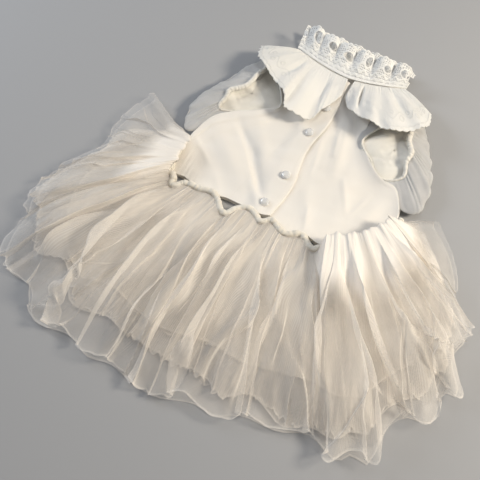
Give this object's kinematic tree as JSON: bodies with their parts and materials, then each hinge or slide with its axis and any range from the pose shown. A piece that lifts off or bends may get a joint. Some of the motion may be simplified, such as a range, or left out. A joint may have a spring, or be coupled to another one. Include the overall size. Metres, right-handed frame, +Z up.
{
  "type": "dog dress",
  "caption": "Dog dress laid flat with its buttoned front up: cotton bodice, short puff sleeves, collar flounce, eyelet lace neck ruffle and a gathered net skirt in tiers.",
  "frame": {"origin": "on the flat underside of the back panel, on the dress's centre line and 25 mm above the middle of the waist seam, in the plane of the table", "axes": "+Y from hem to neck, +X across the dress to the right as laid out front up, +Z up from the table"},
  "size_m": [0.4512, 0.4714, 0.0347],
  "materials": {
    "cotton": "fine plain-woven white cotton, washed",
    "voile": "thin white voile",
    "binding": "cream elastic casing, rolled",
    "lace": "white eyelet lace with a ribbon beading",
    "net": "soft white nylon net, translucent",
    "button": "clear faceted"
  },
  "bodies": {
    "root": {"bodice_back": "cotton", "bodice_front_left": "cotton", "bodice_front_right": "cotton", "sleeve_left": "voile", "sleeve_right": "voile", "cuff_left": "binding", "cuff_right": "binding", "collar_left": "cotton", "collar_right": "cotton", "collar_back": "cotton", "lace_back": "lace", "lace_front": "lace", "waist_roll": "binding", "skirt_outer": "net", "skirt_middle": "net", "skirt_inner": "net", "button_1": "button", "button_2": "button", "button_3": "button", "button_4": "button"}
  },
  "joints": []
}
